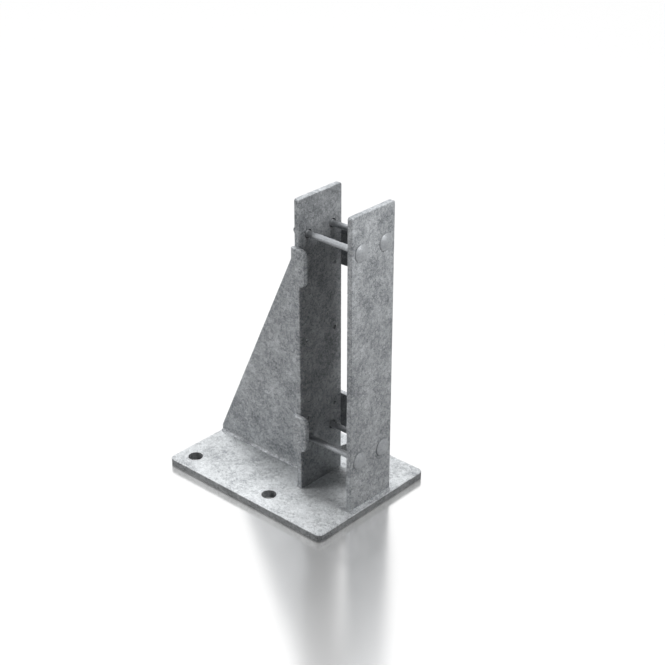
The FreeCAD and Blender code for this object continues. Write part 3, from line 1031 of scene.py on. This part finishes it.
@dataclass
class Studio:
    """Pale floor, soft light and the camera."""

    # The camera looks at the target from this side and height, in degrees, with its lens in millimetres.
    target: Vector = field(default_factory=lambda: Vector((0.060632, 0.0, 0.211576)))
    azimuth: float = 42.0756
    elevation: float = 27.5478
    distance: float = 1.68978
    lens: float = 80.849
    clip_end: float = 50.0
    floor_half: float = 6.0
    floor_drop: float = 0.2 * MM
    # The key light is small and near, over the outer upright, so that its light fades down the upright.
    key_way: tuple[float, float, float] = (1.0, 0.05, 0.83)
    key_size: float = 0.24
    key_distance: float = 0.85
    key_power: float = 4.9
    top_way: tuple[float, float, float] = (-0.3, 0.2, 1.0)
    top_size: float = 0.9
    top_power: float = 68.0
    fill_way: tuple[float, float, float] = (-1.0, -0.95, 0.5)
    fill_size: float = 1.0
    fill_power: float = 36.0
    lamp_distance: float = 2.6
    # The world and the floor light the object only a little. A camera or a reflection sees a white world
    # and a bright, polished floor.
    world_level: float = 0.07
    floor_gloss: float = 0.8
    floor_rough: float = 0.2
    floor_glow: float = 0.88
    floor_paint: str = "707070"

    def build(self) -> None:
        """Set up the floor, the lights, the world and the camera."""
        self.add_floor()
        self.add_world()
        self.add_lamp("key_light", self.key_way, self.key_size, self.key_power, self.key_distance)
        self.add_lamp("top_light", self.top_way, self.top_size, self.top_power, self.lamp_distance)
        self.add_lamp("fill_light", self.fill_way, self.fill_size, self.fill_power, self.lamp_distance)
        self.add_camera()

    def add_lamp(
        self, name: str, way: tuple[float, float, float], size: float, power: float, distance: float
    ) -> None:
        """Add a square area lamp that points at the object.

        Args:
            name: Name of the lamp.
            way: Direction from the object to the lamp.
            size: Length of its sides in metres.
            power: Its power in watts.
            distance: How far it is from the middle of the view, in metres.
        """
        place = self.target + Vector(way).normalized() * distance
        data = bpy.data.lights.new(name, "AREA")
        data.size = size
        data.energy = power
        lamp = bpy.data.objects.new(name, data)
        lamp.location = place
        lamp.rotation_euler = (self.target - place).to_track_quat("-Z", "Y").to_euler()
        bpy.context.scene.collection.objects.link(lamp)

    def add_camera(self) -> None:
        """Add the camera, level, at its angle to the object."""
        turn, lift = math.radians(self.azimuth), math.radians(self.elevation)
        back = Vector((math.sin(turn) * math.cos(lift), -math.cos(turn) * math.cos(lift), math.sin(lift)))
        data = bpy.data.cameras.new("camera")
        data.lens = self.lens
        data.clip_end = self.clip_end
        camera = bpy.data.objects.new("camera", data)
        camera.location = self.target + back * self.distance
        camera.rotation_euler = back.to_track_quat("Z", "Y").to_euler()
        bpy.context.scene.collection.objects.link(camera)
        bpy.context.scene.camera = camera

    def add_floor(self) -> None:
        """Add the floor under the plate: grey paint that shows white, with a polish that mirrors softly."""
        half = self.floor_half
        corners = [(-half, -half), (half, -half), (half, half), (-half, half)]
        mesh = bpy.data.meshes.new("floor")
        mesh.from_pydata([(x, y, -self.floor_drop) for x, y in corners], [], [(0, 1, 2, 3)])
        floor = bpy.data.objects.new("floor", mesh)
        bpy.context.scene.collection.objects.link(floor)
        material, tree = start_material("studio_floor")
        shown = shown_rays(tree)
        paint = add_node(tree, "ShaderNodeBsdfDiffuse", {"Color": linear(self.floor_paint)}).outputs["BSDF"]
        glow = add_node(tree, "ShaderNodeMath", {0: shown, 1: self.floor_glow}, operation="MULTIPLY")
        inputs = {"Strength": glow.outputs["Value"]}
        light = add_node(tree, "ShaderNodeEmission", inputs).outputs["Emission"]
        body = add_node(tree, "ShaderNodeAddShader", {0: paint, 1: light}).outputs["Shader"]
        inputs = {"Color": linear("FFFFFF"), "Roughness": self.floor_rough}
        polish = add_node(tree, "ShaderNodeBsdfGlossy", inputs).outputs["BSDF"]
        inputs = {0: shown, 1: self.floor_gloss}
        gloss = add_node(tree, "ShaderNodeMath", inputs, operation="MULTIPLY").outputs["Value"]
        mix = add_node(tree, "ShaderNodeMixShader", {0: gloss, 1: body, 2: polish})
        add_node(tree, "ShaderNodeOutputMaterial", {"Surface": mix.outputs["Shader"]})
        floor.data.materials.append(material)

    def add_world(self) -> None:
        """Add a plain grey world that is white where the camera or a reflection sees it."""
        world = bpy.data.worlds.new("studio")
        world.use_nodes = True
        tree = world.node_tree
        tree.nodes.clear()
        shown = shown_rays(tree)
        inputs = {"Value": shown, 3: self.world_level, 4: 1.0}
        strength = add_node(tree, "ShaderNodeMapRange", inputs).outputs["Result"]
        sky = add_node(tree, "ShaderNodeBackground", {"Color": linear("FFFFFF"), "Strength": strength})
        add_node(tree, "ShaderNodeOutputWorld", {"Surface": sky.outputs["Background"]})
        bpy.context.scene.world = world


def main() -> None:
    """Build the looks in order: plates, bolts, welds, then the studio."""
    logging.basicConfig(level=logging.INFO, format="%(name)s: %(message)s")
    bpy.context.scene.view_settings.view_transform = "Standard"
    Plates().dress()
    CrossBolts().build()
    WeldBeads().build()
    Studio().build()


if __name__ == "__main__":
    main()
